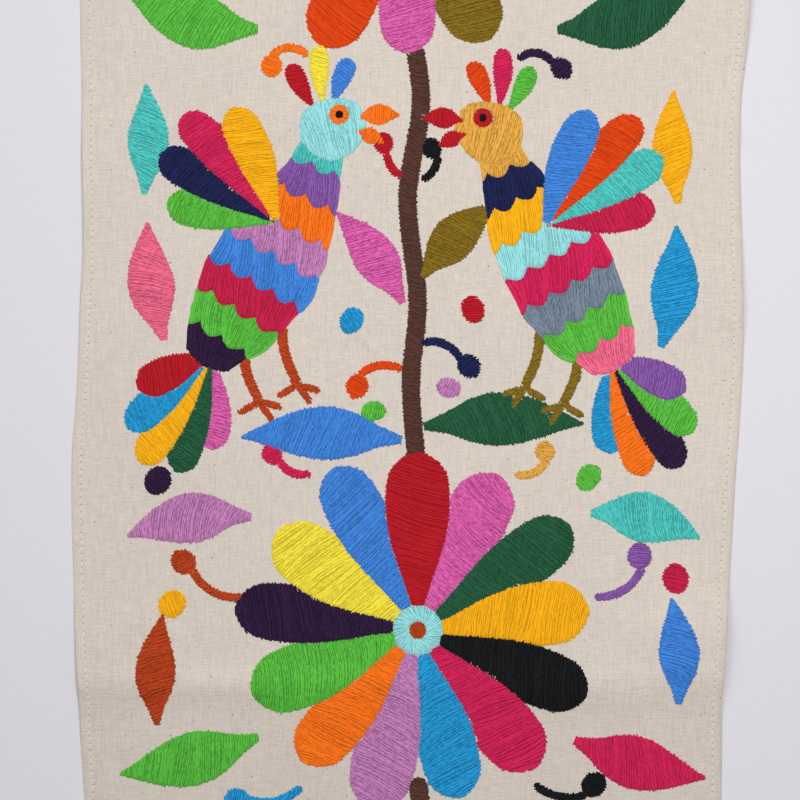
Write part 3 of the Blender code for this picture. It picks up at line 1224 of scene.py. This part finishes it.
def yarn_material(yarn):
    """Cotton yarn: its stitches lighter and darker at random, with painted highlights on their crowns,
    painted shade at their sides and in the gaps between them, and a fine twist.
    """
    name = "yarn_" + yarn
    if name in bpy.data.materials:
        return bpy.data.materials[name]
    nodes = Nodes(name)
    tone = nodes.add("ShaderNodeAttribute", attribute_name="tone").outputs["Fac"]
    lie = nodes.add("ShaderNodeAttribute", attribute_name="lie").outputs["Vector"]
    sideways = nodes.add("ShaderNodeSeparateXYZ", {"Vector": lie}).outputs["Z"]
    sideways = nodes.maths("ABSOLUTE", sideways)
    stroke_highlights_and_shade = nodes.noise(1.0, (0.42, 1.0, 0.3), 0.0, lie)
    gap_shade_breaks = nodes.noise(1.0, (0.36, 1.7, 0.0), 0.0, lie)
    patchy = nodes.noise(90.0, detail=2.0)
    fibre = nodes.noise(2600.0, detail=2.0)
    depth = PAINTED_SHADE_DEPTH.get(yarn, 1.0)
    # Painted shade: the sides of each stitch drawn darker in short broken dashes, where the gaps between
    # stitches lie
    painted_gap_shade = nodes.maths("MULTIPLY", nodes.spread(sideways, 0.0, 1.0, 0.35, 0.9),
                         nodes.spread(gap_shade_breaks, 0.0, 0.62 * depth, 0.45, 0.62))
    # Painted highlight and shade: each stitch drawn lighter along its crown and darker towards its sides
    value = nodes.maths("MULTIPLY", tone, nodes.spread(sideways, 1.08, 0.92, 0.1, 0.9))
    value = nodes.maths("SUBTRACT", value, painted_gap_shade)
    # Painted highlights and shade: each stitch drawn lighter and darker in short strokes along it
    value = nodes.maths("ADD", value, nodes.spread(stroke_highlights_and_shade, -0.14 * depth, 0.14 * depth))
    value = nodes.maths("ADD", value, nodes.spread(patchy, -0.04, 0.04))
    value = nodes.maths("ADD", value, nodes.spread(fibre, -0.06, 0.06))
    tint = nodes.add("ShaderNodeHueSaturation", {"Color": colour(YARNS[yarn]), "Value": value})
    nodes.put(nodes.shader.inputs["Base Color"], tint.outputs[0])
    nodes.put(nodes.shader.inputs["Roughness"], nodes.spread(fibre, 0.58, 0.72))
    nodes.put(nodes.shader.inputs["Specular IOR Level"], 0.7)
    nodes.put(nodes.shader.inputs["Specular Tint"], colour(YARNS[yarn]))
    bump = nodes.add("ShaderNodeBump", {"Strength": 0.5, "Distance": 0.00018, "Height": fibre})
    nodes.put(nodes.shader.inputs["Normal"], bump.outputs[0])
    return nodes.material


def painted_shade_below_crease(nodes):
    """How much painted shade darkens the cloth, from just below the crease downwards."""
    place = nodes.add("ShaderNodeTexCoord").outputs["Object"]
    up = nodes.add("ShaderNodeSeparateXYZ", {"Vector": place}).outputs["Y"]
    start, full, end, clean = PAINTED_SHADE_BELOW_CREASE
    below = nodes.spread(up, 0.0, 1.0, start * MM, full * MM)
    faded = nodes.spread(up, 1.0, 0.0, end * MM, clean * MM)
    return nodes.maths("MULTIPLY", nodes.maths("MULTIPLY", below, faded), PAINTED_SHADE_STRENGTH)


def cloth_material():
    """Unbleached cotton: a plain weave with slubs, dark seed flecks, soft changes of tone, and a painted
    shade below the crease.
    """
    nodes = Nodes("unbleached_cotton_weave")
    warp = nodes.noise(1.0, (1800.0, 130.0, 130.0), 1.0)
    weft = nodes.noise(1.0, (130.0, 1800.0, 130.0), 1.0)
    slubs = nodes.noise(1.0, (520.0, 34.0, 34.0), 2.0)
    grain = nodes.noise(1100.0, detail=1.0)
    tone = nodes.noise(9.0, detail=4.0)
    weave = nodes.maths("ADD", warp, weft)
    value = nodes.spread(weave, -0.092, 0.092, 0.7, 1.3)
    value = nodes.maths("ADD", value, nodes.spread(slubs, -0.026, 0.026))
    value = nodes.maths("ADD", value, nodes.spread(grain, -0.045, 0.045))
    value = nodes.maths("ADD", value, nodes.spread(tone, 0.975, 1.025))
    # Painted shade: the cloth drawn darker from just below the crease downwards
    value = nodes.maths("SUBTRACT", value, painted_shade_below_crease(nodes))
    base = nodes.add("ShaderNodeHueSaturation", {"Color": colour(COTTON), "Value": value})
    tint = nodes.flecks(base.outputs[0], 85.0, 0.046, 0.72, 0.75, (122, 94, 68))
    tint = nodes.flecks(tint, 240.0, 0.095, 0.78, 0.36, (120, 100, 84))
    nodes.put(nodes.shader.inputs["Base Color"], tint)
    nodes.put(nodes.shader.inputs["Roughness"], nodes.spread(weave, 0.84, 0.95, 0.7, 1.3))
    nodes.put(nodes.shader.inputs["Specular IOR Level"], 0.2)
    nodes.put(nodes.shader.inputs["Sheen Weight"], 0.08)
    height = nodes.maths("ADD", weave, grain)
    bump = nodes.add("ShaderNodeBump", {"Strength": 0.5, "Distance": 0.00022, "Height": height})
    nodes.put(nodes.shader.inputs["Normal"], bump.outputs[0])
    return nodes.material


def hem_thread_material():
    """The hem's fine sewing thread, a little paler than the cloth."""
    nodes = Nodes("hem_sewing_thread")
    fibre = nodes.noise(3000.0, detail=1.0)
    tint = nodes.add("ShaderNodeHueSaturation",
                     {"Color": colour((231, 221, 209)), "Value": nodes.spread(fibre, 0.94, 1.05)})
    nodes.put(nodes.shader.inputs["Base Color"], tint.outputs[0])
    nodes.put(nodes.shader.inputs["Roughness"], 0.6)
    return nodes.material


def needle_hole_shade_material():
    """The shade inside the needle's holes."""
    nodes = Nodes("needle_hole_shade")
    shade = nodes.noise(1500.0, detail=1.0)
    tint = nodes.add("ShaderNodeHueSaturation",
                     {"Color": colour((160, 144, 126)), "Value": nodes.spread(shade, 0.75, 1.2)})
    nodes.put(nodes.shader.inputs["Base Color"], tint.outputs[0])
    nodes.put(nodes.shader.inputs["Roughness"], 0.95)
    return nodes.material


def table_material():
    """The plain pale surface under the runner."""
    nodes = Nodes("pale_table")
    nodes.put(nodes.shader.inputs["Base Color"], colour((229, 227, 232)))
    nodes.put(nodes.shader.inputs["Roughness"], 0.7)
    nodes.put(nodes.shader.inputs["Specular IOR Level"], 0.2)
    return nodes.material


# Table, light and camera


def lay_table():
    """The surface that the runner lies on."""
    half = 3000.0
    corners = [(-half, -half, 0.0), (half, -half, 0.0), (half, half, 0.0), (-half, half, 0.0)]
    table = new_object("table_top", corners, [(0, 1, 2, 3)])
    table.data.materials.append(table_material())


def add_light(name, place, size, power, tint):
    """A square soft light that shines at the runner's middle."""
    light = bpy.data.lights.new(name, "AREA")
    light.size = size
    light.energy = power
    light.color = tint
    lamp = bpy.data.objects.new(name, light)
    lamp.location = place
    lamp.rotation_euler = (-Vector(place)).to_track_quat("-Z", "Y").to_euler()
    bpy.context.scene.collection.objects.link(lamp)


def light_scene():
    """A soft light overhead, to the upper right, a window to the upper left, and the room's light."""
    add_light("overhead", (0.25, 0.23, 1.17), 0.6, 8.7, (1.0, 0.995, 0.985))
    add_light("window", (-1.57, 1.80, 1.85), 1.4, 27.5, (1.0, 0.99, 0.975))
    world = bpy.data.worlds.new("soft_surroundings")
    world.use_nodes = True
    backdrop = world.node_tree.nodes["Background"]
    backdrop.inputs["Color"].default_value = (0.92, 0.95, 1.0, 1.0)
    backdrop.inputs["Strength"].default_value = 0.27
    bpy.context.scene.world = world
    bpy.context.scene.view_settings.view_transform = "Standard"


def place_camera():
    """A camera straight above the runner's middle, which sees its full width but not its ends."""
    seen, middle_x = 0.480, -0.0066
    camera = bpy.data.cameras.new("overhead")
    camera.lens = 85.0
    camera.sensor_width = 36.0
    height = 0.5 * seen / (0.5 * camera.sensor_width / camera.lens)
    holder = bpy.data.objects.new("overhead", camera)
    holder.location = (middle_x, 0.0, height)
    bpy.context.scene.collection.objects.link(holder)
    bpy.context.scene.camera = holder


def main():
    """Builds the runner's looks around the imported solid."""
    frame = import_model()
    cloth = Cloth(frame["nodes"][RUNNER])
    panel = cloth_object(cloth)
    panel.data.materials.append(cloth_material())
    patches = trimmed(design())
    sewn = embroider(cloth, patches) + hem_stitching(cloth)
    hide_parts(RUNNER)
    for piece in [panel] + sewn:
        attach(piece, "root")
    lay_table()
    light_scene()
    place_camera()


main()
